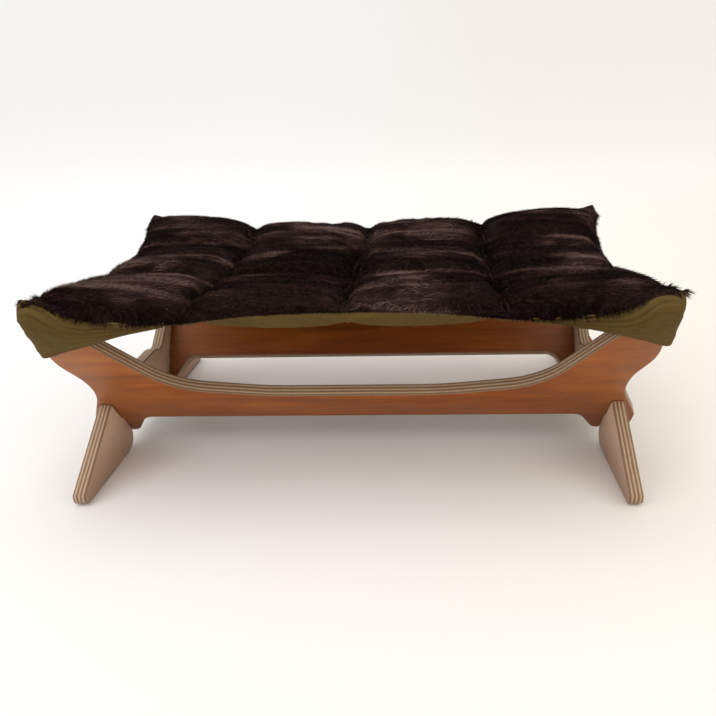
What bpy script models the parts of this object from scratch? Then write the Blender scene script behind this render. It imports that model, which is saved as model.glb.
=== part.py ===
"""Dog bed with a knock-down plywood frame and a quilted mat slung from its four horns.

+X runs along the bed, +Y to its back and +Z up. The origin is on the floor under the bed's centre.
Two long side panels lean outwards. Each straddles two upright cross panels in half-lap joints.
A corner pocket under each corner of the mat slips over a horn and holds the mat taut.
"""

import math

import bmesh
import bpy
from mathutils import Matrix, Vector

# Driving dimensions, in metres.
PLY = 0.015
LEAN = math.radians(35)
GAP = 0.0003
ARC_STEP = math.radians(7)
SHORTEST_CHORD = 0.0012

# Side panel: X along the bed, w up the leaning outer face from the straight bottom edge.
BASE_OUT = 0.0969  # from the bed's centre plane to the outer face's bottom edge
BASE_UP = 0.0501  # from the floor to that edge
RAIL = 0.050  # the rail's height up the face, between the horns
LOBE = 0.034  # how far the slotted lobes hang below the rail
LAP = 0.0  # where up the face the slots of the two crossing panels meet
LOBE_X, WAIST_X, HORN_X = 0.331, 0.2973, 0.323  # the outer edge at the lobe, the waist and the horn
HORN_TIP, TIP_X = 0.205, 0.3145

# Cross panel: upright, across the bed.
CROSS_X = 0.3035  # from the bed's centre to the panel's mid plane
PAD_THICK = 0.0015
FOOT = PAD_THICK + GAP
ARCH_UP = 0.034
ARCH_OUT = 0.0765
TOE_OUT = 0.218
TOE_UP = 0.0135
CROSS_TOP = 0.0875
FIN_TOP = 0.0333  # where up the side panel's face the leg fin's top corner touches
LUG_TOP = 0.068  # how far up that face the lug behind it reaches

# Mat: u and v run from -1 to 1 along X and Y.
MAT_X, MAT_Y = 0.331, 0.223  # to the fur's tips at the corners
PULL_X, PULL_Y = 0.023, 0.028  # how far the middle of each edge is drawn in
RIM = 0.975  # the share of the mat's spread where the pockets are sewn under it
SEAM_UP = 0.2045
CORNER_RISE = 0.029
EDGE_RISE = 0.003
TOP_EDGE, TOP_PUFF = 0.006, 0.016
LOW_EDGE, LOW_PUFF = 0.003, 0.013
CLOTH = 0.0012
FUR = 0.009
MAT_CELLS = (16, 12)

# Corner pocket.
SLACK = 0.0016  # between the horn and the cloth round it
HEM_INNER, HEM_OUTER = 0.160, 0.146  # the hem's height up the horn's inner and outer edges
POCKET_LONG, POCKET_SHORT = 0.190, 0.080  # where the hem meets the mat's long and short edges

PLYWOOD = ("plywood", (0.45, 0.20, 0.085, 1), 0.45)
FELT = ("felt", (0.10, 0.075, 0.05, 1), 0.95)
OLIVE = ("olive_cloth", (0.125, 0.092, 0.035, 1), 0.85)
FUR_PILE = ("brown_fur", (0.030, 0.016, 0.013, 1), 0.9)
WADDING = ("wadding", (0.85, 0.85, 0.82, 1), 0.95)


def clear_scene():
    for obj in list(bpy.data.objects):
        bpy.data.objects.remove(obj, do_unlink=True)


def new_collection(name):
    made = bpy.data.collections.new(name)
    bpy.context.scene.collection.children.link(made)
    return made


def material(spec):
    name, colour, roughness = spec
    made = bpy.data.materials.get(name) or bpy.data.materials.new(name)
    made.use_nodes = True
    shader = made.node_tree.nodes["Principled BSDF"]
    shader.inputs["Base Color"].default_value = colour
    shader.inputs["Roughness"].default_value = roughness
    shader.inputs["Metallic"].default_value = 0.0
    return made


def filleted(corners):
    """Points of a closed outline whose corners (x, y, radius) are rounded with arcs."""
    points = []
    for i, (x, y, radius) in enumerate(corners):
        here = Vector((x, y))
        if radius == 0:
            points.append(here)
            continue
        before = Vector(corners[i - 1][:2]) - here
        after = Vector(corners[(i + 1) % len(corners)][:2]) - here
        before.normalize()
        after.normalize()
        half = before.angle(after) / 2
        middle = here + (before + after).normalized() * (radius / math.sin(half))
        first = here + before * (radius / math.tan(half)) - middle
        sweep = math.pi - 2 * half
        if after.x * before.y - after.y * before.x < 0:
            sweep = -sweep
        steps = max(2, math.ceil(abs(sweep) * min(1 / ARC_STEP, radius / SHORTEST_CHORD)))
        for k in range(steps + 1):
            points.append(middle + Matrix.Rotation(sweep * k / steps, 2) @ first)
    return points


def plate(name, outline, thickness, spec, group):
    """A flat board: the outline lies in the object's XY plane, halfway through its thickness."""
    curve = bpy.data.curves.new(name, "CURVE")
    curve.dimensions = "2D"
    curve.fill_mode = "BOTH"
    curve.extrude = thickness / 2
    spline = curve.splines.new("POLY")
    spline.points.add(len(outline) - 1)
    for point, (x, y) in zip(spline.points, outline):
        point.co = (x, y, 0, 1)
    spline.use_cyclic_u = True
    curve.materials.append(material(spec))
    board = bpy.data.objects.new(name, curve)
    group.objects.link(board)
    weld = board.modifiers.new("weld_caps", "WELD")
    weld.merge_threshold = 0.00001
    return board


def mirrored(half):
    """A whole outline from the corners of its +X half, listed bottom to top."""
    return half + [(-x, y, radius) for x, y, radius in reversed(half)]


def side_panel_outline():
    slot_in = CROSS_X - PLY / 2 - GAP
    slot_out = CROSS_X + PLY / 2 + GAP
    return filleted(
        mirrored(
            [
                (0.266, 0, 0.018),
                (0.286, -LOBE, 0.012),
                (slot_in, -LOBE, 0),
                (slot_in, LAP + GAP, 0),
                (slot_out, LAP + GAP, 0),
                (slot_out, -LOBE, 0),
                (LOBE_X, -LOBE, 0.014),
                (LOBE_X, -0.002, 0.017),
                (WAIST_X, 0.069, 0.070),
                (HORN_X, 0.124, 0.060),
                (TIP_X, HORN_TIP, 0.010),
                (0.2984, HORN_TIP, 0.010),
                (0.2107, 0.067, 0.085),
                (0.100, RAIL, 0.300),
            ]
        )
    )


def on_face(up, out=0.0):
    """(distance from the centre plane, height) of a point up a side panel's outer face, moved out."""
    return (
        BASE_OUT + up * math.sin(LEAN) + out * math.cos(LEAN),
        BASE_UP + up * math.cos(LEAN) - out * math.sin(LEAN),
    )


def cross_panel_outline():
    behind = -PLY - GAP
    return filleted(
        mirrored(
            [
                (ARCH_OUT, ARCH_UP, 0.012),
                (ARCH_OUT, FOOT, 0.018),
                (TOE_OUT, FOOT, 0.005),
                (TOE_OUT, TOE_UP, 0.005),
                (*on_face(FIN_TOP, GAP), 0.0015),
                (*on_face(LAP, GAP), 0),
                (*on_face(LAP, behind), 0),
                (*on_face(LUG_TOP, behind), 0.003),
                (0.104, 0.1135, 0.010),
                (0.060, 0.0810, 0.016),
                (0.040, CROSS_TOP, 0.040),
            ]
        )
    )


def add_side_panels(group):
    """Front and rear panels. Local X is the bed's X, and local Y runs up the leaning face."""
    for name, side in (("front_side_panel", -1), ("rear_side_panel", 1)):
        board = plate(name, side_panel_outline(), PLY, PLYWOOD, group)
        out, up = on_face(0, -PLY / 2)
        board.location = (0, side * out, up)
        board.rotation_euler = (math.pi / 2 - side * LEAN, 0, 0)


def add_cross_panels(group):
    """Left and right panels. Local X is the bed's Y, and local Y is up."""
    for name, side in (("left_cross_panel", -1), ("right_cross_panel", 1)):
        board = plate(name, cross_panel_outline(), PLY, PLYWOOD, group)
        board.location = (side * CROSS_X, 0, 0)
        board.rotation_euler = (math.pi / 2, 0, math.pi / 2)


def add_foot_pads(group):
    """Thin felt strips under the flat of each foot, a little narrower than the board's edge."""
    near, far, half_width, end_radius = 0.098, 0.206, 0.0048, 0.003
    for side_x, end in ((-1, "left"), (1, "right")):
        for side_y, face in ((-1, "front"), (1, "rear")):
            middle = side_y * (near + far) / 2
            half_length = (far - near) / 2
            outline = filleted(
                [
                    (half_width, half_length, end_radius),
                    (-half_width, half_length, end_radius),
                    (-half_width, -half_length, end_radius),
                    (half_width, -half_length, end_radius),
                ]
            )
            pad = plate(f"foot_pad_{face}_{end}", outline, PAD_THICK, FELT, group)
            pad.location = (side_x * CROSS_X, middle, PAD_THICK / 2)


def mat_plan(u, v):
    """Where in plan a point of the mat lies: its edges are drawn in between the corners."""
    return u * (MAT_X - PULL_X * (1 - v * v)), v * (MAT_Y - PULL_Y * (1 - u * u))


def seam_height(u, v):
    """The level of the seam round the mat and of the surface through its middle."""
    return SEAM_UP + EDGE_RISE * (u * u + v * v) + CORNER_RISE * abs(u * v) ** 1.5


def puff(u, v):
    """The share of its full thickness that the padding has at a point."""
    return (1 - u**6) * (1 - v**6)


def mat_bottom(u, v):
    return seam_height(u, v) - LOW_EDGE - LOW_PUFF * puff(u, v)


def mat_top(u, v):
    return seam_height(u, v) + TOP_EDGE + TOP_PUFF * puff(u, v)


def fur_underside(u, v):
    """The fur cover thins out towards the seam, so that it never meets the cloth below."""
    return mat_top(u, v) - FUR * (0.45 + 0.55 * puff(u, v))


def mat_layer(name, lower, upper, spec, group):
    """One layer of the mat, between two heights that are functions of u and v."""
    shape = bmesh.new()
    bmesh.ops.create_grid(shape, x_segments=MAT_CELLS[0], y_segments=MAT_CELLS[1], size=1)
    bottom = list(shape.verts)
    grown = bmesh.ops.extrude_face_region(shape, geom=list(shape.faces), use_keep_orig=True)
    top = [part for part in grown["geom"] if isinstance(part, bmesh.types.BMVert)]
    for verts, height in ((bottom, lower), (top, upper)):
        for vert in verts:
            u, v = vert.co.x, vert.co.y
            vert.co = (*mat_plan(u, v), height(u, v))
    bmesh.ops.recalc_face_normals(shape, faces=shape.faces)
    mesh = bpy.data.meshes.new(name)
    shape.to_mesh(mesh)
    shape.free()
    mesh.shade_smooth()
    mesh.set_sharp_from_angle(angle=math.radians(40))
    mesh.materials.append(material(spec))
    group.objects.link(bpy.data.objects.new(name, mesh))


def add_mat(group):
    def above_backing(u, v):
        return mat_bottom(u, v) + CLOTH + GAP

    def below_fur(u, v):
        return fur_underside(u, v) - GAP

    def backing_top(u, v):
        return mat_bottom(u, v) + CLOTH

    mat_layer("mat_backing", mat_bottom, backing_top, OLIVE, group)
    mat_layer("mat_wadding", above_backing, below_fur, WADDING, group)
    mat_layer("fur_top_cover", fur_underside, mat_top, FUR_PILE, group)


def on_horn(x, up, out):
    """A point by the horn of the +X, +Y corner, out from the side panel's outer face."""
    return Vector((x, *on_face(up, out)))


def under_rim(u, v):
    """A point just under the rim of the mat, where a pocket is stitched on."""
    u, v = u * RIM, v * RIM
    return Vector((*mat_plan(u, v), mat_bottom(u, v) - CLOTH - GAP))


def pocket_sections():
    """Sections of the +X, +Y pocket from the long edge round the horn to the short edge.

    Each section runs down from the mat's rim over the horn's tip to the hem.
    """
    behind = -PLY - SLACK
    past = HORN_X + SLACK
    long_end = POCKET_LONG / MAT_X
    short_end = POCKET_SHORT / MAT_Y
    start, end = under_rim(long_end, 1), under_rim(1, short_end)
    drop = Vector((0, 0, -0.004))
    inner_hem = on_horn(0.268, HEM_INNER, SLACK)
    outer_hem = on_horn(past, HEM_OUTER, SLACK)
    back_hem = on_horn(past, HEM_OUTER, behind)
    inner_tip = on_horn(0.280, 0.185, SLACK)
    mid_tip = on_horn(0.303, HORN_TIP + SLACK, SLACK)
    outer_tip = on_horn(TIP_X + SLACK, HORN_TIP + SLACK, SLACK)
    back_tip = on_horn(TIP_X + SLACK, HORN_TIP + SLACK, behind)
    return [
        [start, start + drop, start + 2 * drop],
        [under_rim((long_end + 0.84) / 2, 1), start.lerp(inner_tip, 0.5), start.lerp(inner_hem, 0.5)],
        [under_rim(0.84, 1), inner_tip, inner_hem],
        [under_rim(0.93, 1), mid_tip, inner_hem.lerp(outer_hem, 0.5)],
        [under_rim(1, 1), outer_tip, outer_hem],
        [under_rim(1, 0.93), back_tip, back_hem],
        [under_rim(1, (short_end + 0.93) / 2), end.lerp(back_tip, 0.5), end.lerp(back_hem, 0.5)],
        [end, end + drop, end + 2 * drop],
    ]


def add_pockets(group):
    """Four cloth pockets. Each is a lofted sheet with Solidify, and the other three mirror one."""
    sections = pocket_sections()
    for side_x, end in ((-1, "left"), (1, "right")):
        for side_y, face in ((-1, "front"), (1, "rear")):
            name = f"corner_pocket_{face}_{end}"
            shape = bmesh.new()
            rows = [
                [shape.verts.new((side_x * p.x, side_y * p.y, p.z)) for p in section]
                for section in sections
            ]
            for row, following in zip(rows, rows[1:]):
                for k in range(len(row) - 1):
                    corners = [row[k], following[k], following[k + 1], row[k + 1]]
                    if side_x * side_y < 0:
                        corners.reverse()
                    shape.faces.new(corners)
            mesh = bpy.data.meshes.new(name)
            shape.to_mesh(mesh)
            shape.free()
            mesh.materials.append(material(OLIVE))
            pocket = bpy.data.objects.new(name, mesh)
            group.objects.link(pocket)
            solid = pocket.modifiers.new("cloth_thickness", "SOLIDIFY")
            solid.thickness = CLOTH
            solid.offset = 1


def main():
    clear_scene()
    group = new_collection("dog_bed_with_frame")
    add_side_panels(group)
    add_cross_panels(group)
    add_foot_pads(group)
    add_mat(group)
    add_pockets(group)


main()
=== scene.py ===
"""Dog bed with a slotted plywood frame and a quilted fur mat slung from its horns."""

import math

import bmesh
import bpy
import numpy as np
from mathutils import Matrix, Vector


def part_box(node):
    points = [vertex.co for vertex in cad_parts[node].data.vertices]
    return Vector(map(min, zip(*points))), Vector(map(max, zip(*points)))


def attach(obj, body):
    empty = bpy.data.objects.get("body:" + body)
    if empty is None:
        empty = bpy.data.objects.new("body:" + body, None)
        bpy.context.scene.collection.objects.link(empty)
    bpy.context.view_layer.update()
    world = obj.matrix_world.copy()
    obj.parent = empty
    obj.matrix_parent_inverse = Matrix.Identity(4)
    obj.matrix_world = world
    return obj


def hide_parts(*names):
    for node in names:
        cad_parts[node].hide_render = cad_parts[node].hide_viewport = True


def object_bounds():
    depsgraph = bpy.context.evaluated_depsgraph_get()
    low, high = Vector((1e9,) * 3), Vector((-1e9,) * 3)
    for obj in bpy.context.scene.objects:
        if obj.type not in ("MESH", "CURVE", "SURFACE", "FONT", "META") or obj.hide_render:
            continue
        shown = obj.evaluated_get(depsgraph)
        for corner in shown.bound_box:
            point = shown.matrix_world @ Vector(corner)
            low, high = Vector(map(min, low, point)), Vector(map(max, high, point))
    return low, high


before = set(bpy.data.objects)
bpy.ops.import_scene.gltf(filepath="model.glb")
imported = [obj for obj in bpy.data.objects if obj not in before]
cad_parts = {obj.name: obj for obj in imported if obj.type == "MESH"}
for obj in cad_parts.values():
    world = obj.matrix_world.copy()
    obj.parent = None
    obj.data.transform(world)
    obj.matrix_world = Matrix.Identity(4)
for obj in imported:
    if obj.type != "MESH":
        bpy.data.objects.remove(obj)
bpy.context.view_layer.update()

HIGH = Vector(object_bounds()[1])

# The frame's own measures in metres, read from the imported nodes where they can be.
FRONT_LOW = Vector(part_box("front_side_panel")[0])
CROSS_LOW, CROSS_HIGH = (Vector(corner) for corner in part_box("right_cross_panel"))
PLY = CROSS_HIGH.x - CROSS_LOW.x
PLIES = 7
LEAN = math.radians(35)  # how far a side panel leans outwards
LOBE = 0.034  # how far its slotted lobes hang below its bottom edge
HORN_X, TIP_X = 0.323, 0.3145  # a horn's outer edge, at its widest and at its tip
HORN_TIP = 0.205  # how far a horn's tip is up the face from the bottom edge
FLANK_X, FLANK_UP, FLANK_SLOPE = 0.227, 0.100, 1.576  # the line that a horn's inner edge follows
BASE_OUT = -FRONT_LOW.y - HORN_TIP * math.sin(LEAN)  # to the bottom edge of a side panel's outer face
BASE_UP = FRONT_LOW.z + LOBE * math.cos(LEAN)
SANDED = 0.0013  # the radius of the boards' edges

# The mat, in metres. u and v run from -1 to 1 along X and Y.
RIM_X, RIM_Y = HIGH.x - 0.001, HIGH.y - 0.007
TAPER = 0.008  # how much further the mat reaches sideways at the back, and less in front
SPILL = 0.009  # how much further the front right corner reaches sideways
PULL_X, PULL_Y = 0.021, 0.025  # how far the edges are drawn in between the corners
FLAT_MAT = (0.67, 0.465)  # the cut of the backing and of the fur
COLUMNS = (-1, -0.5, 0, 0.5, 1)
ROWS = (-1, -0.38, 0.38, 1)
CELLS_U, CELLS_V = 140, 116
# The level of the rim's seam from the middle of an edge to a corner, along the long and the short edges.
LONG_RIM = [(0, 0.2125), (0.3, 0.2105), (0.6, 0.2045), (0.78, 0.2105), (0.92, 0.2240), (1.0, 0.2310)]
SHORT_RIM = [(0, 0.2035), (0.4, 0.2045), (0.7, 0.2120), (0.9, 0.2255), (1.0, 0.2310)]
CREST, SEAM, UNDER = 0.2255, 0.2080, 0.1980  # levels of the pads' tops, of their seams, and below the seams
TOP_DISH, LOW_DISH = 0.0165, 0.0245  # how much higher the top and the underside are at the corners
SAG = 0.0080  # how far the filling bulges below
BACK_RISE = 0.0065  # how much higher the back edge hangs than the front edge
CORNER_RISE = 0.0045  # how much more the back corners rise
RIPPLE, SWELL = 0.0011, 0.0013  # small folds and broad unevenness of the top
HORN_CLEARANCE = 0.0024
THIN_MAT = 0.0065  # the mat's thickness where it is stretched over a horn
SIM_STEPS = 18
MOST_SWELL = 0.0040  # the furthest that the air may push the cloth out of its first shape
CLOTH, FUR_GROUND = 0.0012, 0.0020
FILL_INSET = 0.0028  # how far the wadding stays inside the mat's faces
PILE = 0.0085

# The pockets.
SLACK = 0.0016  # the room between a pocket and its horn
HEM_AT = 0.86  # how far down a pocket its turned-up hem starts
HEM_RISE = 0.009  # how much higher the right-hand pockets' hems sit
HEM_THICK = 0.0007
FOLD, FOLD_LIFT = 0.0019, 0.0029  # the height of a fold, and how far all the folds are raised
INNER_HEM = (0.270, 0.161)  # where the hem crosses the horn's face, in x and up the face
OUTER_HEM, BACK_HEM = 0.141, 0.144  # how far up the face the hem is past the horn's outer edge
WEAVE_LONG, WEAVE_DEEP = 0.26, 0.06  # the size that a pocket's weave is drawn for
# Where a pocket is sewn on, as shares of the mat's half length and half width.
RIM_PATH = (
    (0.57, 0.985), (0.70, 0.985), (0.82, 0.985), (0.90, 0.985),
    (0.970, 0.970), (0.982, 0.92), (0.982, 0.66), (0.982, 0.36),
)


# ---------------------------------------------------------------- node trees


class Wire:
    """A node's output, which adds Math nodes when it is used in an expression."""

    def __init__(self, tree, socket):
        self.tree = tree
        self.socket = socket

    def maths(self, operation, *values):
        return self.tree.node("ShaderNodeMath", {"operation": operation}, values)

    def __add__(self, other):
        return self.maths("ADD", self, other)

    def __sub__(self, other):
        return self.maths("SUBTRACT", self, other)

    def __mul__(self, other):
        return self.maths("MULTIPLY", self, other)

    def __truediv__(self, other):
        return self.maths("DIVIDE", self, other)

    def __rsub__(self, other):
        return self.maths("SUBTRACT", other, self)

    __radd__ = __add__
    __rmul__ = __mul__

    def clamped(self):
        return self.tree.node("ShaderNodeClamp", {}, (self,))


class Tree:
    """A node tree with one method that adds any node."""

    def __init__(self, node_tree):
        self.nodes = node_tree.nodes
        self.links = node_tree.links

    def node(self, kind, settings=None, values=(), output=0):
        """Adds a node. values are for its inputs: in order, or by name or place in a dict."""
        made = self.nodes.new(kind)
        for name, value in (settings or {}).items():
            if name == "stops":
                self.set_stops(made.color_ramp, value)
            else:
                setattr(made, name, value)
        places = values.items() if isinstance(values, dict) else enumerate(values)
        for place, value in places:
            socket = made.inputs[place]
            if isinstance(value, Wire):
                self.links.new(value.socket, socket)
            elif value is not None:
                socket.default_value = value
        self.last = made
        return Wire(self, made.outputs[output]) if made.outputs else None

    @staticmethod
    def set_stops(ramp, stops):
        for i, (place, colour) in enumerate(stops):
            point = ramp.elements[i] if i < 2 else ramp.elements.new(place)
            point.position = place
            point.color = (*colour, 1)


class Finish(Tree):
    """A new material's tree, with its Principled shader and the patterns used here."""

    def __init__(self, name, roughness=0.5, **sockets):
        self.material = bpy.data.materials.new(name)
        self.material.use_nodes = True
        super().__init__(self.material.node_tree)
        self.shader = self.nodes["Principled BSDF"]
        self.shader.inputs["Roughness"].default_value = roughness
        for socket, value in sockets.items():
            self.shader.inputs[socket.replace("_", " ").title().replace("Ior", "IOR")].default_value = value

    def attribute(self, name, output="Vector"):
        return self.node("ShaderNodeAttribute", {"attribute_name": name}, output=output)

    def place(self, output="Object"):
        return self.node("ShaderNodeTexCoord", output=output)

    def stretched(self, vector, scale, move=(0, 0, 0)):
        return self.node("ShaderNodeMapping", {}, {"Vector": vector, "Scale": scale, "Location": move})

    def noise(self, vector, scale, detail=4.0, roughness=0.55, distortion=0.0, output="Factor"):
        self.node(
            "ShaderNodeTexNoise",
            {},
            {"Vector": vector, "Scale": scale, "Detail": detail, "Roughness": roughness,
             "Distortion": distortion},
        )
        return Wire(self, self.last.outputs[0 if output == "Factor" else 1])

    def part(self, vector, axis):
        return self.node("ShaderNodeSeparateXYZ", {}, (vector,), output="XYZ".index(axis))

    def spread(self, value, low, high, to_low=0.0, to_high=1.0):
        return self.node(
            "ShaderNodeMapRange", {"interpolation_type": "SMOOTHSTEP"},
            (value, low, high, to_low, to_high),
        )

    def ramp(self, factor, stops):
        return self.node("ShaderNodeValToRGB", {"stops": stops}, (factor,))

    def mixed(self, factor, first, second, blend="MIX"):
        colours = [(*c, 1) if isinstance(c, tuple) and len(c) == 3 else c for c in (first, second)]
        wire = self.node(
            "ShaderNodeMix", {"data_type": "RGBA", "blend_type": blend},
            {0: factor, 6: colours[0], 7: colours[1]}, output=2,
        )
        return wire

    def colour(self, wire):
        self.links.new(wire.socket, self.shader.inputs["Base Color"])

    def rough(self, wire):
        self.links.new(wire.socket, self.shader.inputs["Roughness"])

    def bump(self, height, distance, strength=1.0):
        bumped = self.node(
            "ShaderNodeBump", {}, {"Height": height, "Distance": distance, "Strength": strength}
        )
        self.links.new(bumped.socket, self.shader.inputs["Normal"])


# ---------------------------------------------------------------- materials


def stained_face(name, painted_light_paling, bare_and_lit_colour):
    """Reddish-brown stain over a rotary-cut veneer. "board" is (along, up, through) in metres."""
    f = Finish(name, 0.42, specular_ior_level=0.22, coat_weight=0.03, coat_roughness=0.3)
    board = f.attribute("board")
    warp = f.noise(f.stretched(board, (2.2, 5.0, 3.0)), 1.6, 2.0, output="Color")
    bent = f.node(
        "ShaderNodeVectorMath", {"operation": "MULTIPLY_ADD"}, (warp, (0.012, 0.03, 0.01), board)
    )
    broad = f.noise(f.stretched(bent, (3.0, 42.0, 8.0)), 1.0, 4.0, 0.6, 0.5)
    figure = f.noise(f.stretched(bent, (7.0, 150.0, 20.0)), 1.0, 5.0, 0.65, 0.3)
    pores = f.noise(f.stretched(bent, (60.0, 1500.0, 200.0)), 1.0, 2.0, 0.6)
    mottle = f.noise(f.stretched(board, (9.0, 14.0, 10.0)), 1.0, 3.0, 0.6)
    tone = (broad * 0.55 + figure * 0.35 + mottle * 0.25 - 0.08).clamped()
    stain = f.ramp(
        tone,
        [(0.22, (0.090, 0.020, 0.003)), (0.42, (0.205, 0.051, 0.008)),
         (0.56, (0.305, 0.080, 0.010)), (0.74, (0.46, 0.150, 0.028))],
    )
    # The stain thins and greys towards the ends of the long boards, and the colour darkens along the bottom
    # edge.
    along = f.part(board, "X")
    far_out = f.spread(f.node("ShaderNodeMath", {"operation": "ABSOLUTE"}, (along,)), 0.17, 0.34)
    # Painted light: a whole face can also be paled towards the pale colour, which lifts the cross boards'
    # shaded faces.
    wear_and_painted_light = (far_out * (0.10 + 0.45 * mottle) + painted_light_paling).clamped()
    stain = f.mixed(wear_and_painted_light, stain, bare_and_lit_colour)
    darker_low = 1 - f.spread(f.part(board, "Y"), -0.035, 0.030)
    stain = f.mixed(darker_low * 0.55, stain, (0.105, 0.026, 0.006))
    pore_mask = f.spread(pores, 0.60, 0.74, 0.0, 0.45)
    stain = f.mixed(pore_mask, stain, (0.045, 0.014, 0.005))
    f.colour(stain)
    f.rough((0.34 + 0.22 * figure + 0.1 * pore_mask).clamped())
    f.bump(figure * 0.35 + pores * 0.5, 0.0006, 0.35)
    return f.material


def ply_edge():
    """The cut edge: seven plies, light and dark by turns, sanded pale."""
    f = Finish("plywood_edge", 0.55)
    board = f.attribute("board")
    through = f.part(board, "Z")
    wander = f.noise(f.stretched(board, (25.0, 25.0, 0.0)), 1.0, 3.0, 0.6)
    layer = through / PLY * PLIES + (wander - 0.5) * 0.35
    wave = f.node("ShaderNodeMath", {"operation": "PINGPONG"}, (layer + 100.0, 1.0))
    band = f.spread(wave, 0.30, 0.70)
    fibres = f.noise(f.stretched(board, (220.0, 220.0, 1600.0)), 1.0, 3.0, 0.6)
    broad = f.noise(f.stretched(board, (14.0, 14.0, 14.0)), 1.0, 3.0, 0.6)
    pale = f.mixed(broad, (0.40, 0.255, 0.15), (0.53, 0.37, 0.235))
    dark = f.mixed(broad, (0.165, 0.088, 0.045), (0.25, 0.145, 0.08))
    wood = f.mixed(band, pale, dark)
    wood = f.mixed(f.spread(fibres, 0.42, 0.75, 0.0, 0.45), wood, (0.12, 0.062, 0.032))
    glue = 1 - f.spread(f.node("ShaderNodeMath", {"operation": "ABSOLUTE"}, (wave - 0.5,)), 0.02, 0.10)
    wood = f.mixed(glue * 0.35, wood, (0.09, 0.045, 0.025))
    f.colour(wood)
    f.rough(0.48 + 0.2 * fibres)
    f.bump(fibres * 0.5 + band * 0.5, 0.0004, 0.5)
    return f.material


def pad_felt():
    f = Finish("foot_felt", 0.95, sheen_weight=0.3)
    place = f.place()
    fibres = f.noise(place, 900.0, 4.0, 0.7)
    f.colour(f.mixed(fibres, (0.035, 0.026, 0.02), (0.10, 0.078, 0.06)))
    f.bump(fibres, 0.0006, 0.8)
    return f.material


def olive_cloth():
    """Plain-weave cotton. "cloth" is the place on the flat cloth, in metres."""
    f = Finish("olive_cotton", 0.82, specular_ior_level=0.18)
    cloth = f.attribute("cloth")
    thread = 2 * math.pi / 0.00075
    warp = f.node("ShaderNodeMath", {"operation": "SINE"}, (f.part(cloth, "X") * thread,))
    weft = f.node("ShaderNodeMath", {"operation": "SINE"}, (f.part(cloth, "Y") * thread,))
    weave = 0.5 + 0.5 * warp * weft
    slubs = f.noise(f.stretched(cloth, (90.0, 700.0, 1.0)), 1.0, 3.0, 0.6)
    fade = f.noise(f.stretched(cloth, (16.0, 16.0, 1.0)), 1.0, 4.0, 0.6)
    base = f.mixed(fade, (0.072, 0.042, 0.0080), (0.155, 0.095, 0.023))
    base = f.mixed(f.spread(slubs, 0.45, 0.8, 0.0, 0.35), base, (0.19, 0.135, 0.045))
    base = f.mixed((1 - weave) * 0.35, base, (0.035, 0.022, 0.004))
    f.colour(base)
    f.rough(0.72 + 0.2 * slubs)
    f.bump(weave * 0.6 + slubs * 0.4, 0.00035, 0.6)
    return f.material


def thread_finish():
    f = Finish("olive_thread", 0.6, specular_ior_level=0.3)
    twist = f.noise(f.place(), 2500.0, 2.0)
    f.colour(f.mixed(twist, (0.075, 0.055, 0.02), (0.20, 0.155, 0.07)))
    f.bump(twist, 0.0002, 0.5)
    return f.material


def fur_skin():
    """The knitted ground the pile stands on, seen only between the tufts."""
    f = Finish("fur_ground", 0.9, specular_ior_level=0.05)
    cloth = f.attribute("cloth")
    streaks = f.noise(f.stretched(cloth, (70.0, 420.0, 1.0)), 1.0, 5.0, 0.65, 0.4)
    f.colour(f.mixed(streaks, (0.007, 0.0035, 0.003), (0.030, 0.016, 0.013)))
    f.bump(streaks, 0.002, 0.8)
    return f.material


def fur_tufts():
    """Very dark brown pile with paler tips. Each tuft has its own "shade", from root to tip "along"."""
    f = Finish("brown_pile", 0.55, specular_ior_level=0.03)
    along = f.attribute("along", "Fac")
    shade = f.attribute("shade", "Fac")
    streak = f.noise(f.stretched(f.place(), (9.0, 85.0, 12.0)), 1.0, 5.0, 0.65, 0.6)
    patch = f.noise(f.stretched(f.place(), (7.0, 13.0, 5.0)), 1.0, 3.0, 0.55, 0.5)
    streaky = f.spread(streak, 0.38, 0.64, -0.16, 0.26)
    patchy = f.spread(patch, 0.42, 0.62, -0.20, 0.34)
    # Painted shade: the pile is darker down in the quilting's seams and a little lighter on the cells'
    # crests.
    painted_seam_shade = f.spread(f.attribute("full", "Fac"), 0.15, 0.9, -0.22, 0.06)
    light = (along * 0.34 + shade * 0.14 + streaky + patchy + painted_seam_shade + 0.05).clamped()
    tint = f.ramp(
        light,
        [(0.0, (0.0035, 0.0012, 0.0012)), (0.30, (0.0130, 0.0048, 0.0042)),
         (0.58, (0.050, 0.024, 0.020)), (1.0, (0.220, 0.140, 0.118))],
    )
    f.colour(tint)
    f.rough(0.62 - 0.2 * shade)
    return f.material


def white_wadding():
    f = Finish("white_wadding", 0.95)
    fluff = f.noise(f.place(), 160.0, 5.0, 0.7)
    f.colour(f.mixed(fluff, (0.62, 0.62, 0.60), (0.86, 0.86, 0.84)))
    f.bump(fluff, 0.004, 0.9)
    return f.material


def floor_finish():
    f = Finish("pale_floor", 0.7, specular_ior_level=0.2)
    # Painted light: the floor is paler far off, cooler at the left and warmer at the right, standing in for
    # the backdrop's lighting.
    side = f.spread(f.part(f.place(), "X"), -1.3, 1.3)
    far = f.spread(f.part(f.place(), "Y"), 0.2, 2.5)
    near = f.mixed(side, (0.79, 0.785, 0.795), (0.82, 0.765, 0.69))
    f.colour(f.mixed(far, near, f.mixed(side, (0.97, 0.965, 0.97), (0.95, 0.915, 0.86))))
    return f.material


# ---------------------------------------------------------------- mesh helpers


def new_object(name, mesh):
    made = bpy.data.objects.new(name, mesh)
    bpy.context.scene.collection.objects.link(made)
    return made


def baked(obj, name=None):
    """The evaluated mesh of an object, which loses its modifiers."""
    graph = bpy.context.evaluated_depsgraph_get()
    mesh = bpy.data.meshes.new_from_object(obj.evaluated_get(graph))
    obj.modifiers.clear()
    obj.data = mesh
    if name:
        mesh.name = name
    return obj


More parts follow.
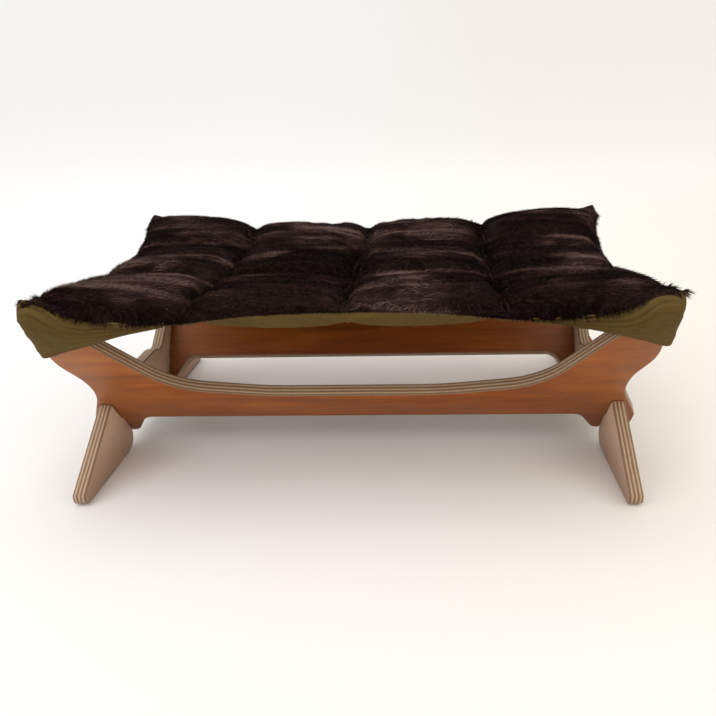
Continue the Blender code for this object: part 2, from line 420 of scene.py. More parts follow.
def store(mesh, name, values, kind="FLOAT_VECTOR"):
    """Keeps one value for each vertex as a named attribute."""
    attribute = mesh.attributes.new(name, kind, "POINT")
    field = "vector" if kind == "FLOAT_VECTOR" else "value"
    attribute.data.foreach_set(field, np.asarray(values, dtype=np.float32).ravel())


def vertex_places(mesh):
    places = np.empty(len(mesh.vertices) * 3, dtype=np.float32)
    mesh.vertices.foreach_get("co", places)
    return places.reshape(-1, 3).astype(float)


def unit(vectors):
    return vectors / np.maximum(np.linalg.norm(vectors, axis=-1, keepdims=True), 1e-9)


def sheet_mesh(name, rings):
    """A closed body between two surfaces given as grids of points with the same shape."""
    lower, upper = (np.asarray(r, dtype=float) for r in rings)
    rows, columns = lower.shape[:2]
    places = np.concatenate([lower.reshape(-1, 3), upper.reshape(-1, 3)])
    half = rows * columns
    index = np.arange(half).reshape(rows, columns)
    a, b = index[:-1, :-1].ravel(), index[:-1, 1:].ravel()
    c, d = index[1:, 1:].ravel(), index[1:, :-1].ravel()
    low_faces = np.stack([a, d, c, b], axis=1)
    high_faces = np.stack([a, b, c, d], axis=1) + half
    loop = np.concatenate([index[0, :-1], index[:-1, -1], index[-1, :0:-1], index[:0:-1, 0]])
    following = np.roll(loop, -1)
    walls = np.stack([loop, following, following + half, loop + half], axis=1)
    mesh = bpy.data.meshes.new(name)
    faces = np.concatenate([low_faces, high_faces, walls])
    mesh.from_pydata(places.tolist(), [], faces.tolist())
    shape = bmesh.new()
    shape.from_mesh(mesh)
    bmesh.ops.recalc_face_normals(shape, faces=shape.faces)
    shape.to_mesh(mesh)
    shape.free()
    mesh.shade_smooth()
    return mesh


# ---------------------------------------------------------------- plywood frame


def leaning_axes(side):
    """Unit vectors up and out of a side panel's outer face. side is -1 in front, 1 behind."""
    up = Vector((0, side * math.sin(LEAN), math.cos(LEAN)))
    out = Vector((0, side * math.cos(LEAN), -math.sin(LEAN)))
    return up, out


def rounded_board(node, along, up, out, materials):
    """The CAD board with its cut edges rounded over, and its grain laid along it."""
    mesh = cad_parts[node].data.copy()
    mesh.materials.clear()
    for material in materials:
        mesh.materials.append(material)
    shape = bmesh.new()
    shape.from_mesh(mesh)
    bmesh.ops.remove_doubles(shape, verts=shape.verts, dist=0.00002)
    bmesh.ops.dissolve_limit(
        shape, angle_limit=math.radians(1), verts=shape.verts, edges=shape.edges
    )
    for face in shape.faces:
        face.material_index = 0 if abs(face.normal.dot(out)) > 0.99 else 1
        face.smooth = True
    weight = shape.edges.layers.float.new("bevel_weight_edge")
    for edge in shape.edges:
        kinds = {face.material_index for face in edge.link_faces}
        edge[weight] = 1.0 if len(kinds) == 2 else 0.0
    shape.to_mesh(mesh)
    shape.free()
    board = new_object(node + "_board", mesh)
    bevel = board.modifiers.new("sanded_edges", "BEVEL")
    bevel.limit_method = "WEIGHT"
    bevel.width = SANDED
    bevel.segments = 3
    bevel.material = 1
    bevel.use_clamp_overlap = False
    baked(board)
    mesh = board.data
    mesh.set_sharp_from_angle(angle=math.radians(35))
    places = vertex_places(mesh)
    axes = np.array([along, up, out], dtype=float)
    middle = (places @ axes[2]).min() + PLY / 2
    laid = places @ axes.T
    laid[:, 2] -= middle
    laid[:, 1] -= laid[:, 1].min() + LOBE
    store(mesh, "board", laid)
    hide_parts(node)
    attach(board, "root")
    return board


def add_frame_boards():
    long_face = stained_face("stained_veneer", 0.0, (0.43, 0.205, 0.095))
    # The cross boards' pale stain is painted light that lifts their shaded faces.
    short_face = stained_face("stained_veneer_painted_light", 0.95, (0.60, 0.42, 0.30))
    edge = ply_edge()
    for side, node in ((-1, "front_side_panel"), (1, "rear_side_panel")):
        up, out = leaning_axes(side)
        rounded_board(node, Vector((1, 0, 0)), up, out, (long_face, edge))
    for side, node in ((-1, "left_cross_panel"), (1, "right_cross_panel")):
        out = Vector((side, 0, 0))
        rounded_board(node, Vector((0, 1, 0)), Vector((0, 0, 1)), out, (short_face, edge))


def add_foot_pads():
    felt = pad_felt()
    for name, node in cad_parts.items():
        if name.startswith("foot_pad"):
            node.data.materials.clear()
            node.data.materials.append(felt)


# ---------------------------------------------------------------- mat


def smooth_profile(at, points):
    """A smooth curve through a few (place, value) points, flat at its two ends."""
    xs, ys = (np.array(c, dtype=float) for c in zip(*points))
    slopes = np.gradient(ys, xs)
    slopes[0] = 0
    i = np.clip(np.searchsorted(xs, at, side="right") - 1, 0, len(xs) - 2)
    span = xs[i + 1] - xs[i]
    t = (at - xs[i]) / span
    rest, blend = (1 + 2 * t) * (1 - t) ** 2, t * (1 - t) ** 2
    over, back = t * t * (3 - 2 * t), t * t * (t - 1)
    return rest * ys[i] + blend * span * slopes[i] + over * ys[i + 1] + back * span * slopes[i + 1]


def mat_plan(u, v):
    rounding = 1 - 0.018 * np.abs(u * v) ** 14
    spill = SPILL * np.clip(u, 0, 1) ** 4 * np.clip(-v, 0, 1) ** 2
    return (
        u * (RIM_X + TAPER * v - PULL_X * (1 - v * v)) * rounding + spill,
        v * (RIM_Y - PULL_Y * (1 - u * u)) * rounding,
    )


def rim_level(u, v):
    """The rim's level, carried inwards from the nearer edges."""
    long_rim = smooth_profile(np.abs(u), LONG_RIM)
    short_rim = smooth_profile(np.abs(v), SHORT_RIM)
    to_long, to_short = np.abs(v) ** 40 + 1e-9, np.abs(u) ** 40 + 1e-9
    return (long_rim * to_long + short_rim * to_short) / (to_long + to_short)


def across_cell(value, lines):
    """Where a value lies between its two seam lines, from -1 to 1."""
    lines = np.array(lines, dtype=float)
    i = np.clip(np.searchsorted(lines, value, side="right") - 1, 0, len(lines) - 2)
    return 2 * (value - lines[i]) / (lines[i + 1] - lines[i]) - 1


def quilted(u, v):
    """How full the quilting is at a point: 0 on a seam and 1 in the middle of a cell."""
    a, b = across_cell(u, COLUMNS), across_cell(v, ROWS)
    a = np.where(np.abs(u) > 0.5, np.where(np.sign(u) * a > 0, a * 0.8, a), a)
    b = np.where(np.abs(v) > ROWS[2], np.where(np.sign(v) * b > 0, b * 0.8, b), b)
    return np.sqrt(np.clip((1 - np.abs(a) ** 3.2) * (1 - np.abs(b) ** 3.2), 0, 1))


def mat_lines(steps, lines):
    """Grid lines that fall on every seam, closer together next to the seams."""
    made = []
    total = lines[-1] - lines[0]
    for low, high in zip(lines, lines[1:]):
        count = max(6, round(steps * (high - low) / total))
        t = np.linspace(0, 1, count, endpoint=False)
        eased = t - 0.06 * np.sin(2 * math.pi * t)
        made.append(low + (high - low) * eased)
    return np.append(np.concatenate(made), lines[-1])


def horn_top(x, y):
    """The highest point of a horn near (x, y), or far below where there is none."""
    x, y = np.abs(x), np.abs(y)
    inner_out = BASE_OUT - PLY * math.cos(LEAN)
    inner_up = BASE_UP + PLY * math.sin(LEAN)
    w = (y - inner_out) / math.sin(LEAN)
    top = inner_up + np.minimum(w, HORN_TIP) * math.cos(LEAN)
    past_tip = np.maximum(0, y - inner_out - HORN_TIP * math.sin(LEAN))
    top = top - past_tip * math.tan(LEAN)
    flank = FLANK_X + (w - FLANK_UP) / FLANK_SLOPE
    near = (x > np.minimum(flank, 0.296)) & (x < TIP_X + 0.006) & (past_tip < PLY) & (w > 0.15)
    return np.where(near, top, 0.0)


def blurred(values, passes):
    for _ in range(passes):
        wider = np.pad(values, 1, mode="edge")
        values = (wider[1:-1, :-2] + wider[1:-1, 2:] + wider[:-2, 1:-1] + wider[2:, 1:-1]) / 4
    return values


def rounded_rim(u, v):
    return np.sqrt((1 - np.abs(u) ** 22) * (1 - np.abs(v) ** 16))


def hung_over_horns(x, y, round_top, top, bottom):
    """Lifts both faces of the mat clear of the horns over a broad patch, and keeps them apart."""
    lift = np.maximum(0, horn_top(x, y) + HORN_CLEARANCE - bottom)
    spread = blurred(lift, 70)
    for _ in range(14):
        spread = spread + blurred(np.maximum(0, lift - spread), 14) * 1.3
    bottom = bottom + np.maximum(spread, lift)
    over = bottom + THIN_MAT * round_top + 0.0005
    blend = (top - over) ** 2 + (0.004 * round_top) ** 2
    return (top + over + np.sqrt(blend)) / 2, bottom


def mat_surfaces():
    """The mat's top and bottom as grids of points, sewn together round the rim."""
    u, v = np.meshgrid(mat_lines(CELLS_U, COLUMNS), mat_lines(CELLS_V, ROWS))
    x, y = mat_plan(u, v)
    rim = rim_level(u, v)
    full = quilted(u, v)
    corner = np.abs(u) ** 2 * np.abs(v) ** 1.6
    top = SEAM + (CREST - SEAM) * full + TOP_DISH * corner
    bottom = UNDER - SAG * full * (1 - np.abs(v) ** 6) + LOW_DISH * np.abs(u) ** 2.4 * np.abs(v) ** 1.4
    round_top = rounded_rim(u, v)
    round_low = np.sqrt((1 - np.abs(u) ** 40) * (1 - np.abs(v) ** 30))
    top = rim + (top - rim) * round_top
    bottom = rim + (bottom - rim) * round_low
    rng = np.random.default_rng(3)
    inside = (1 - np.abs(u) ** 8) * (1 - np.abs(v) ** 8)
    top = top + RIPPLE * inside * (0.35 + full) * fresh_noise(u.shape, 9, 2, rng)
    top = top + SWELL * inside * fresh_noise(u.shape, 14, 9, rng)
    t = np.clip((v + 0.1) / 1.1, 0, 1)
    rise = BACK_RISE * t * t * (3 - 2 * t) + CORNER_RISE * np.abs(u) ** 3 * np.clip(v, 0, 1) ** 3
    top, bottom = top + rise, bottom + rise
    top, bottom = hung_over_horns(x, y, round_top, top, bottom)
    return u, v, np.stack([x, y, top], axis=-1), np.stack([x, y, bottom], axis=-1)


def inflated(u, v, top, bottom):
    """Fills the sewn cells with air under Blender's cloth, so that the cloth gathers at the seams."""
    mesh = sheet_mesh("mat_blank", (bottom, top))
    half = u.size
    on_seam = np.zeros(u.shape, dtype=bool)
    for line in COLUMNS:
        on_seam |= np.abs(u - line) < 1e-6
    for line in ROWS:
        on_seam |= np.abs(v - line) < 1e-6
    blank = new_object("mat_blank", mesh)
    pins = blank.vertex_groups.new(name="seams")
    held = np.flatnonzero(on_seam.ravel())
    pins.add([int(i) for i in held], 1.0, "REPLACE")
    pins.add([int(i) + half for i in held], 1.0, "REPLACE")
    cloth = blank.modifiers.new("cloth", "CLOTH")
    settings = cloth.settings
    settings.quality = 5
    settings.mass = 0.15
    settings.tension_stiffness = 12
    settings.compression_stiffness = 8
    settings.shear_stiffness = 4
    settings.bending_stiffness = 0.08
    settings.air_damping = 4
    settings.use_pressure = True
    settings.uniform_pressure_force = 1.5
    settings.shrink_min = -0.05
    settings.vertex_group_mass = "seams"
    settings.effector_weights.gravity = 0
    cloth.collision_settings.use_collision = False
    cloth.collision_settings.use_self_collision = False
    scene = bpy.context.scene
    cloth.point_cache.frame_start = 1
    cloth.point_cache.frame_end = SIM_STEPS
    for step in range(1, SIM_STEPS + 1):
        scene.frame_set(step)
    graph = bpy.context.evaluated_depsgraph_get()
    done = bpy.data.meshes.new_from_object(blank.evaluated_get(graph))
    moved = vertex_places(done)
    start = vertex_places(mesh)
    scene.frame_set(1)
    bpy.data.objects.remove(blank, do_unlink=True)
    away = moved - start
    far = np.linalg.norm(away, axis=1, keepdims=True)
    moved = start + away * np.minimum(1, MOST_SWELL / np.maximum(far, 1e-9))
    return moved[half:].reshape(top.shape), moved[:half].reshape(bottom.shape)


def normals_of(grid):
    along = np.gradient(grid, axis=1)
    across = np.gradient(grid, axis=0)
    return unit(np.cross(along, across))


def fresh_noise(shape, reach_u, reach_v, rng):
    """Smooth noise on a grid, of unit spread, with its own reach along each way in grid steps."""
    values = rng.standard_normal(shape)
    for axis, reach in ((1, reach_u), (0, reach_v)):
        at = np.arange(-3 * reach, 3 * reach + 1)
        kernel = np.exp(-0.5 * (at / reach) ** 2)
        margin = [(0, 0), (0, 0)]
        margin[axis] = (3 * reach, 3 * reach)
        wider = np.pad(values, margin, mode="reflect")
        values = np.apply_along_axis(np.convolve, axis, wider, kernel, mode="valid")
    return values / values.std()


def add_mat(olive):
    u, v, top, bottom = mat_surfaces()
    top, bottom = inflated(u, v, top, bottom)
    top[..., 2], bottom[..., 2] = hung_over_horns(
        bottom[..., 0], bottom[..., 1], rounded_rim(u, v), top[..., 2], bottom[..., 2]
    )
    flat = np.stack([u * FLAT_MAT[0] / 2, v * FLAT_MAT[1] / 2, np.zeros_like(u)], axis=-1)
    upward = normals_of(bottom)
    edge = np.clip(1 - np.maximum(np.abs(u), np.abs(v)) ** 30, 0.02, 1)[..., None]
    middle, half = (bottom + top) / 2, (top - bottom) / 2
    room = np.linalg.norm(half, axis=-1, keepdims=True)
    share = np.clip(1 - FILL_INSET / np.maximum(room, 1e-6), 0.12, 1)
    inner = (slice(5, -5), slice(5, -5))
    fill = new_object(
        "mat_wadding_fill",
        sheet_mesh("mat_wadding_fill", ((middle - half * share)[inner], (middle + half * share)[inner])),
    )
    fill.data.materials.append(white_wadding())
    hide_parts("mat_wadding")
    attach(fill, "root")

    backing = new_object(
        "mat_backing_cloth",
        sheet_mesh("mat_backing_cloth", (bottom, bottom + upward * CLOTH * edge)),
    )
    store(backing.data, "cloth", np.concatenate([flat.reshape(-1, 3)] * 2))
    backing.data.materials.append(olive)
    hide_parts("mat_backing")
    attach(backing, "root")

    cover = new_object(
        "fur_cover_ground",
        sheet_mesh("fur_cover_ground", (top - normals_of(top) * FUR_GROUND * edge, top)),
    )
    store(cover.data, "cloth", np.concatenate([flat.reshape(-1, 3)] * 2))
    cover.data.materials.append(fur_skin())
    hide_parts("fur_top_cover")
    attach(cover, "root")

    piles = add_pile(u, v, top)
    return u, v, bottom


def pile_lay(u, v, top):
    """Which way the pile lies: along the mat with swirls, and outwards over its rim."""
    rng = np.random.default_rng(11)
    normal = normals_of(top)
    along = unit(np.gradient(top, axis=1))
    across = unit(np.gradient(top, axis=0))
    swirl = fresh_noise(u.shape, 16, 7, rng)
    cross = fresh_noise(u.shape, 10, 5, rng)
    fine = fresh_noise(u.shape, 3, 1, rng)
    stand = 0.22 + 0.07 * fresh_noise(u.shape, 6, 2, rng)
    way = np.tanh(2.2 * (0.3 + swirl))
    lay = along * way[..., None] + across * (-0.25 + 0.20 * cross + 0.16 * fine)[..., None]
    lay = unit(lay) + normal * np.clip(stand, 0.08, 0.5)[..., None]
    rim_u = np.clip((np.abs(u) - 0.965) / 0.035, 0, 1)[..., None]
    rim_v = np.clip((np.abs(v) - 0.95) / 0.05, 0, 1)[..., None]
    sideways = np.stack([np.sign(u), np.zeros_like(u), np.zeros_like(u)], axis=-1) * rim_u
    endways = np.stack([np.zeros_like(u), np.sign(v), np.zeros_like(u)], axis=-1) * rim_v
    rim = np.clip(rim_u + rim_v, 0, 1)
    hang = 0.15 + 0.75 * np.clip((np.abs(u[..., None]) - 0.40) / 0.35, 0, 1)
    drop = np.concatenate([0 * rim, 0 * rim, rim * hang], axis=-1)
    return unit(lay * (1 - 0.55 * rim) + (sideways + endways) * 0.6 - drop)


def pile_growth(u, v):
    """The pile's length: trimmed short along the middle of the long edges, shaggier at the corners."""
    rim = np.maximum(np.abs(u), np.abs(v)) ** 30
    outer = np.clip((np.abs(u) - 0.35) / 0.4, 0, 1)
    corner = np.abs(u) ** 6 * np.abs(v) ** 4
    front = np.clip(-v, 0, 1) ** 3
    return 0.85 + rim * (outer * 0.30 - 0.35) + corner * (0.05 + 0.25 * front) + 0.10 * front * outer


def pile_tree():
    """Geometry nodes that stand curved, tapered tufts on the faces of one quilted cell."""
    group = bpy.data.node_groups.new("fur_pile", "GeometryNodeTree")
    face = group.interface
    face.new_socket("Geometry", in_out="INPUT", socket_type="NodeSocketGeometry")
    for name, kind in (
        ("Cell", "NodeSocketInt"),
        ("Tufts per square metre", "NodeSocketFloat"),
        ("Length", "NodeSocketFloat"),
        ("Root radius", "NodeSocketFloat"),
        ("Curl", "NodeSocketFloat"),
        ("Seed", "NodeSocketInt"),
        ("Finish", "NodeSocketMaterial"),
    ):
        face.new_socket(name, in_out="INPUT", socket_type=kind)
    face.new_socket("Geometry", in_out="OUTPUT", socket_type="NodeSocketGeometry")
    t = Tree(group)
    t.node("NodeGroupInput")
    given = {socket.name: Wire(t, socket) for socket in t.last.outputs if socket.name}

    def named(name, kind):
        return t.node("GeometryNodeInputNamedAttribute", {"data_type": kind}, (name,))

    def random(low, high, seed, kind="FLOAT"):
        places = {"FLOAT": (2, 3, 1), "FLOAT_VECTOR": (0, 1, 0)}[kind]
        return t.node(
            "FunctionNodeRandomValue", {"data_type": kind},
            {places[0]: low, places[1]: high, "Seed": seed}, output=places[2],
        )

    in_cell = t.node(
        "FunctionNodeCompare", {"data_type": "INT", "operation": "EQUAL"},
        {2: named("cell", "INT"), 3: given["Cell"]},
    )
    skin = t.node(
        "GeometryNodeSeparateGeometry", {"domain": "FACE"},
        {"Geometry": given["Geometry"], "Selection": in_cell},
    )
    points = t.node(
        "GeometryNodeDistributePointsOnFaces", {},
        {"Mesh": skin, "Seed": given["Seed"],
         "Density": given["Tufts per square metre"] * named("thick", "FLOAT")},
    )

    cone = t.node(
        "GeometryNodeMeshCone", {},
        {"Vertices": 3, "Side Segments": 2, "Radius Top": 0.0,
         "Radius Bottom": given["Root radius"], "Depth": given["Length"]},
    )
    place = t.node("GeometryNodeInputPosition")
    height = t.node("ShaderNodeSeparateXYZ", {}, (place,), output=2)
    share = height / given["Length"]
    bend = share * share * given["Curl"]
    tuft = t.node(
        "GeometryNodeSetPosition", {},
        {"Geometry": cone, "Offset": t.node("ShaderNodeCombineXYZ", {}, (bend, 0.0, bend * -0.35))},
    )
    tuft = t.node(
        "GeometryNodeStoreNamedAttribute", {"data_type": "FLOAT", "domain": "POINT"},
        {"Geometry": tuft, "Name": "along", "Value": share},
    )

    scatter = random((-0.13, -0.13, -0.08), (0.13, 0.13, 0.10), 3, "FLOAT_VECTOR")
    scatter = t.node("ShaderNodeVectorMath", {"operation": "SCALE"}, {0: scatter, 3: named("loose", "FLOAT")})
    way = t.node("ShaderNodeVectorMath", {"operation": "ADD"}, (named("lay", "FLOAT_VECTOR"), scatter))
    turn = t.node("FunctionNodeAlignRotationToVector", {"axis": "Z"}, {"Vector": way})
    roll = t.node("FunctionNodeAxisAngleToRotation", {}, {"Axis": (0, 0, 1), "Angle": random(0.0, 6.283, 5)})
    turn = t.node("FunctionNodeRotateRotation", {"rotation_space": "LOCAL"}, (turn, roll))
    size = random(0.55, 1.25, 7) * named("growth", "FLOAT")
    grown = t.node("GeometryNodeInstanceOnPoints", {}, {
        "Points": points, "Instance": tuft, "Rotation": turn,
        "Scale": t.node("ShaderNodeCombineXYZ", {}, (1.0, 1.0, size)),
    })
    grown = t.node(
        "GeometryNodeStoreNamedAttribute", {"data_type": "FLOAT", "domain": "INSTANCE"},
        {"Geometry": grown, "Name": "shade", "Value": random(0.0, 1.0, 9)},
    )
    solid = t.node("GeometryNodeRealizeInstances", {}, (grown,))
    solid = t.node("GeometryNodeSetMaterial", {}, {"Geometry": solid, "Material": given["Finish"]})
    t.node("NodeGroupOutput", {}, (solid,))
    return group


def set_inputs(modifier, values):
    """Sets a geometry-nodes modifier's inputs by their names in its tree."""
    for item in modifier.node_group.interface.items_tree:
        if item.in_out == "INPUT" and item.name in values:
            modifier[item.identifier] = values[item.name]


def add_pile(u, v, top):
    """Twelve pieces of pile, one for each quilted cell."""
    rows, columns = u.shape
    index = np.arange(u.size).reshape(rows, columns)
    faces = np.stack(
        [index[:-1, :-1].ravel(), index[:-1, 1:].ravel(), index[1:, 1:].ravel(), index[1:, :-1].ravel()],
        axis=1,
    )
    skin_mesh = bpy.data.meshes.new("pile_skin")
    skin_mesh.from_pydata(top.reshape(-1, 3).tolist(), [], faces.tolist())
    store(skin_mesh, "lay", pile_lay(u, v, top))
    store(skin_mesh, "growth", pile_growth(u, v), "FLOAT")
    shaggy = np.maximum(np.abs(u), np.abs(v)) ** 20 * np.clip((np.abs(u) - 0.3) / 0.4, 0.2, 1)
    store(skin_mesh, "loose", 1 + 3.0 * shaggy, "FLOAT")
    # How full the quilting is; the pile's material paints shade in the seams from this.
    store(skin_mesh, "full", quilted(u, v), "FLOAT")
    store(skin_mesh, "thick", 1 + 0.8 * np.maximum(np.abs(u), np.abs(v)) ** 30, "FLOAT")
    mid_u = (u[:-1, :-1] + u[1:, 1:]) / 2
    mid_v = (v[:-1, :-1] + v[1:, 1:]) / 2
    column = np.searchsorted(COLUMNS, mid_u) - 1
    row = np.searchsorted(ROWS, mid_v) - 1
    cell = skin_mesh.attributes.new("cell", "INT", "FACE")
    cell.data.foreach_set("value", (row * 4 + column).ravel().astype(np.int32))
    tree, finish = pile_tree(), fur_tufts()
    piles = []
    density = 320000
    for number in range(12):
        pile = new_object(f"fur_pile_{number // 4 + 1}_{number % 4 + 1}", skin_mesh)
        grow = pile.modifiers.new("pile", "NODES")
        grow.node_group = tree
        set_inputs(grow, {
            "Cell": number, "Tufts per square metre": density, "Length": PILE,
            "Root radius": 0.00041, "Curl": 0.0016, "Seed": number,
            "Finish": finish,
        })
        baked(pile, pile.name)
        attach(pile, "root")
        piles.append(pile)
    return piles


# ---------------------------------------------------------------- stitches


def stitch_tree():
    """Geometry nodes that lay short stitches end to end along the lines of a mesh."""
    group = bpy.data.node_groups.new("stitches", "GeometryNodeTree")
    face = group.interface
    face.new_socket("Geometry", in_out="INPUT", socket_type="NodeSocketGeometry")
    for name, kind in (
        ("Spacing", "NodeSocketFloat"),
        ("Stitch length", "NodeSocketFloat"),
        ("Thread radius", "NodeSocketFloat"),
        ("Seed", "NodeSocketInt"),
        ("Finish", "NodeSocketMaterial"),
    ):
        face.new_socket(name, in_out="INPUT", socket_type=kind)
    face.new_socket("Geometry", in_out="OUTPUT", socket_type="NodeSocketGeometry")
    t = Tree(group)
    t.node("NodeGroupInput")
    given = {socket.name: Wire(t, socket) for socket in t.last.outputs if socket.name}
    line = t.node("GeometryNodeMeshToCurve", {}, {"Mesh": given["Geometry"]})
    line = t.node(
        "GeometryNodeResampleCurve", {"mode": "LENGTH"}, {"Curve": line, "Length": given["Spacing"]}
    )
    points = t.node("GeometryNodeCurveToPoints", {"mode": "EVALUATED"}, (line,))
    turn = Wire(t, t.last.outputs["Rotation"])
    ball = t.node("GeometryNodeMeshUVSphere", {}, {"Segments": 6, "Rings": 4, "Radius": 1.0})
    size = t.node(
        "ShaderNodeCombineXYZ", {},
        (given["Thread radius"], given["Thread radius"], given["Stitch length"] * 0.5),
    )
    stitch = t.node("GeometryNodeTransform", {}, {"Geometry": ball, "Scale": size})
    wobble = t.node(
        "FunctionNodeRandomValue", {"data_type": "FLOAT"}, {2: 0.88, 3: 1.08, "Seed": given["Seed"]}, output=1
    )
    sewn = t.node(
        "GeometryNodeInstanceOnPoints", {},
        {"Points": points, "Instance": stitch, "Rotation": turn, "Scale": wobble},
    )
    solid = t.node("GeometryNodeRealizeInstances", {}, (sewn,))
    solid = t.node("GeometryNodeSetMaterial", {}, {"Geometry": solid, "Material": given["Finish"]})
    t.node("NodeGroupOutput", {}, (solid,))
    return group


def add_stitches(name, lines, thread):
    """One piece of stitches along some lines of points."""
    mesh = bpy.data.meshes.new(name)
    places = np.concatenate(lines)
    edges, start = [], 0
    for line in lines:
        edges += [(start + i, start + i + 1) for i in range(len(line) - 1)]
        start += len(line)
    mesh.from_pydata(places.tolist(), edges, [])
    piece = new_object(name, mesh)
    sew = piece.modifiers.new("stitches", "NODES")
    sew.node_group = bpy.data.node_groups.get("stitches") or stitch_tree()
    set_inputs(sew, {
        "Spacing": 0.0034, "Stitch length": 0.0027, "Thread radius": 0.00033, "Seed": 5, "Finish": thread,
    })
    baked(piece, name)
    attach(piece, "root")


def add_quilting(thread, u, v, bottom):
    """The quilting's lines of stitches, seen on the underside of the mat."""
    under = bottom + normals_of(bottom) * -0.0001
    lines = [under[3:-3, np.argmin(np.abs(u[0] - at))] for at in COLUMNS[1:-1]]
    lines += [under[np.argmin(np.abs(v[:, 0] - at)), 3:-3] for at in ROWS[1:-1]]
    add_stitches("quilting_stitches", lines, thread)


# ---------------------------------------------------------------- pockets


def on_horn(x, up, out):
    """A point by the horn of the +X, +Y corner, out from the side panel's outer face."""
    return np.array([
        x,
        BASE_OUT + up * math.sin(LEAN) + out * math.cos(LEAN),
        BASE_UP + up * math.cos(LEAN) - out * math.sin(LEAN),
    ])


def through(points, at):
    """A Catmull-Rom curve through points, read at places from 0 to 1."""
    points = np.asarray(points, dtype=float)
    ends = np.concatenate([[2 * points[0] - points[1]], points, [2 * points[-1] - points[-2]]])
    place = np.clip(at, 0, 1) * (len(points) - 1)
    i = np.minimum(place.astype(int), len(points) - 2)
    t = (place - i)[:, None]
    a, b, c, d = ends[i], ends[i + 1], ends[i + 2], ends[i + 3]
    return 0.5 * (2 * b + (c - a) * t + (2 * a - 5 * b + 4 * c - d) * t**2 + (3 * b - a - 3 * c + d) * t**3)


def on_grid(u, v, grid, along, across):
    """Points of a grid over the mat, at shares of its half length and half width."""
    j = np.interp(along, u[0], np.arange(u.shape[1]))
    i = np.interp(across, v[:, 0], np.arange(v.shape[0]))
    low_i, low_j = np.minimum(i.astype(int), v.shape[0] - 2), np.minimum(j.astype(int), u.shape[1] - 2)
    part_i, part_j = (i - low_i)[:, None], (j - low_j)[:, None]
    near = grid[low_i, low_j] * (1 - part_j) + grid[low_i, low_j + 1] * part_j
    far = grid[low_i + 1, low_j] * (1 - part_j) + grid[low_i + 1, low_j + 1] * part_j
    return near * (1 - part_i) + far * part_i


def pocket_sections(start, stop, right_hand):
    """The middle and the hem of a +X, +Y pocket, from its long-edge end round the horn's tip."""
    behind = -PLY - SLACK
    past = HORN_X + SLACK
    past_tip = TIP_X + SLACK + (0.004 if right_hand else 0.0)
    raised = HEM_RISE if right_hand else 0.0
    tip = HORN_TIP + SLACK
    inner_hem = on_horn(INNER_HEM[0], INNER_HEM[1] + raised, SLACK)
    outer_hem = on_horn(past, OUTER_HEM + raised, SLACK)
    back_hem = on_horn(past, BACK_HEM + raised, behind)
    return [
        [start - [0, 0, 0.002], start - [0, 0, 0.004]],
        [start * 0.55 + on_horn(0.275, 0.178, SLACK) * 0.45, start * 0.5 + inner_hem * 0.5],
        [on_horn(0.278, 0.186, SLACK), inner_hem],
        [on_horn(0.302, tip, SLACK), (inner_hem + outer_hem) / 2],
        [on_horn(past_tip, tip, SLACK), outer_hem],
        [on_horn(past_tip, tip, behind), back_hem],
        [stop * 0.5 + on_horn(past, 0.190, behind) * 0.5, stop * 0.5 + back_hem * 0.5],
        [stop - [0, 0, 0.002], stop - [0, 0, 0.004]],
    ]


def folds(s, t, side_x, side_y):
    """How far a pocket's cloth stands out, in folds that run along it and die away at the hem."""
    fold = np.sin(30 * t + 2.2 * np.sin(4 * s + side_x) + 2.0 * side_x + side_y)
    fold = fold + 0.6 * np.sin(57 * t - 9 * s + 2.5 * side_x)
    fold = fold + 0.5 * np.sin(21 * s + 7 * t + side_y)
    room = np.clip(np.minimum(t, 1 - t) * 5, 0, 1) * np.clip(np.minimum(s, 1 - s) * 6, 0, 1)
    room = room * (1 - 0.75 * t) * (1 - 0.9 * np.exp(-(((s - 0.62) / 0.09) ** 2)))
    return (FOLD * fold + FOLD_LIFT) * room


def add_pocket(name, side_x, side_y, rim_at, olive, thread):
    """One pocket and its stitches, shaped at the +X, +Y corner and then turned to its own."""
    start, stop = rim_at(*RIM_PATH[0])[0], rim_at(*RIM_PATH[-1])[0]
    sections = pocket_sections(start, stop, side_x > 0)
    along = np.linspace(0, 1, 97)
    down = np.linspace(0, 1, 33)
    path = through(RIM_PATH, along)
    rails = [rim_at(path[:, 0], path[:, 1])]
    rails += [through([section[k] for section in sections], along) for k in range(2)]
    grid = np.stack([through([r[i] for r in rails], down) for i in range(len(along))])
    normal = normals_of(grid)
    if np.mean(normal[40:60, :, 1]) < 0:
        normal = -normal
    s, t = np.meshgrid(along, down, indexing="ij")
    grid = grid + normal * folds(s, t, side_x, side_y)[..., None]
    hem = np.clip((t - HEM_AT) / 0.02, 0, 1) * HEM_THICK
    outer = grid + normal * (CLOTH + hem)[..., None]
    turn = np.array([side_x, side_y, 1.0])
    pocket = new_object(name + "_cloth", sheet_mesh(name + "_cloth", (grid * turn, outer * turn)))
    spread = np.stack([s * WEAVE_LONG, t * WEAVE_DEEP, np.zeros_like(s)], axis=-1)
    store(pocket.data, "cloth", np.concatenate([spread.reshape(-1, 3)] * 2))
    pocket.data.materials.append(olive)
    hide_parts(name)
    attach(pocket, "root")
    line = (outer[3:-3, np.argmin(np.abs(down - HEM_AT - 0.05))] + normal[3:-3, -4] * 0.0002) * turn
    add_stitches(name.replace("corner_pocket", "pocket_stitches"), [line], thread)


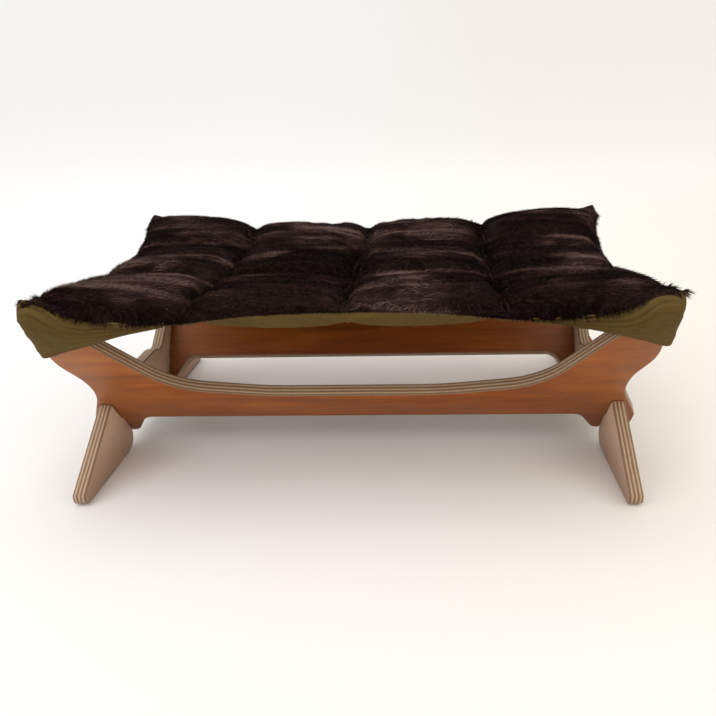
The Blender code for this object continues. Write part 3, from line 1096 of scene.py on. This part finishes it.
def add_pockets(olive, thread, u, v, bottom):
    """Four cloth pockets, each pulled over a horn and sewn under the mat's rim."""
    for side_x, end in ((-1, "left"), (1, "right")):
        for side_y, face in ((-1, "front"), (1, "rear")):

            def rim_at(a, b):
                points = on_grid(u, v, bottom, side_x * np.atleast_1d(a), side_y * np.atleast_1d(b))
                return points * np.array([side_x, side_y, 1]) + np.array([0, 0, 0.0003])

            name = f"corner_pocket_{face}_{end}"
            add_pocket(name, side_x, side_y, rim_at, olive, thread)


# ---------------------------------------------------------------- stage


def add_stage():
    """A floor that is flat round the bed and rises ever more steeply beyond, so that no horizon shows."""
    level, rise, steepening = 1.6, 0.016, 2.2
    mesh = bpy.data.meshes.new("floor_and_backdrop")
    lines = np.sinh(np.linspace(-3, 3, 81)) * level
    places = [(x, y, rise * max(0, math.hypot(x, y) - level) ** steepening) for y in lines for x in lines]
    index = np.arange(len(places)).reshape(len(lines), len(lines))
    corners = [index[:-1, :-1], index[:-1, 1:], index[1:, 1:], index[1:, :-1]]
    faces = np.stack([c.ravel() for c in corners], axis=1).tolist()
    mesh.from_pydata(places, [], faces)
    mesh.shade_smooth()
    mesh.materials.append(floor_finish())
    floor = new_object("floor_and_backdrop", mesh)


def add_light(name, place, aim, size, power, colour):
    data = bpy.data.lights.new(name, "AREA")
    data.shape = "RECTANGLE"
    data.size, data.size_y = size
    data.energy = power
    data.color = colour
    light = new_object(name, data)
    light.location = place
    light.rotation_euler = (Vector(aim) - Vector(place)).to_track_quat("-Z", "Y").to_euler()


def add_lights():
    """A soft light above, a cool one at the left, a warm one at the right, and bright surroundings."""
    add_light("soft_top", (-0.3, 0.1, 2.3), (0, 0, 0.1), (2.2, 2.0), 19, (1.0, 0.99, 0.97))
    add_light("left_window", (-2.2, -1.5, 1.3), (0, 0, 0.15), (1.6, 1.4), 21, (0.97, 0.985, 1.0))
    add_light("right_warm", (2.2, -1.2, 1.1), (0, 0, 0.15), (1.6, 1.4), 12, (1.0, 0.90, 0.75))
    bpy.context.scene.view_settings.view_transform = "Standard"
    world = bpy.data.worlds.new("studio")
    world.use_nodes = True
    shade = world.node_tree.nodes["Background"]
    shade.inputs["Color"].default_value = (0.98, 0.975, 0.965, 1)
    shade.inputs["Strength"].default_value = 0.98
    bpy.context.scene.world = world


def add_camera():
    """A camera in front of the bed, a little above it, looking down by 25 degrees."""
    pitch, yaw, roll = (math.radians(a) for a in (25.258, 3.358, 1.913))
    ahead = Vector((-math.sin(yaw) * math.cos(pitch), math.cos(yaw) * math.cos(pitch), -math.sin(pitch)))
    right = Vector((math.cos(yaw), math.sin(yaw), 0))
    down = ahead.cross(right)
    tilted_right = right * math.cos(roll) + down * math.sin(roll)
    tilted_down = down * math.cos(roll) - right * math.sin(roll)
    data = bpy.data.cameras.new("camera")
    data.lens, data.sensor_width = 33.97, 36
    data.shift_x, data.shift_y = -0.0406, 0.0548
    camera = new_object("camera", data)
    turn = Matrix((tilted_right, -tilted_down, -ahead)).transposed()
    camera.matrix_world = Matrix.Translation((0.0780, -0.8309, 0.4216)) @ turn.to_4x4()
    bpy.context.scene.camera = camera


def main():
    add_camera()
    add_stage()
    add_lights()
    add_frame_boards()
    add_foot_pads()
    olive, thread = olive_cloth(), thread_finish()
    u, v, bottom = add_mat(olive)
    add_quilting(thread, u, v, bottom)
    add_pockets(olive, thread, u, v, bottom)


main()

bpy.context.view_layer.update()
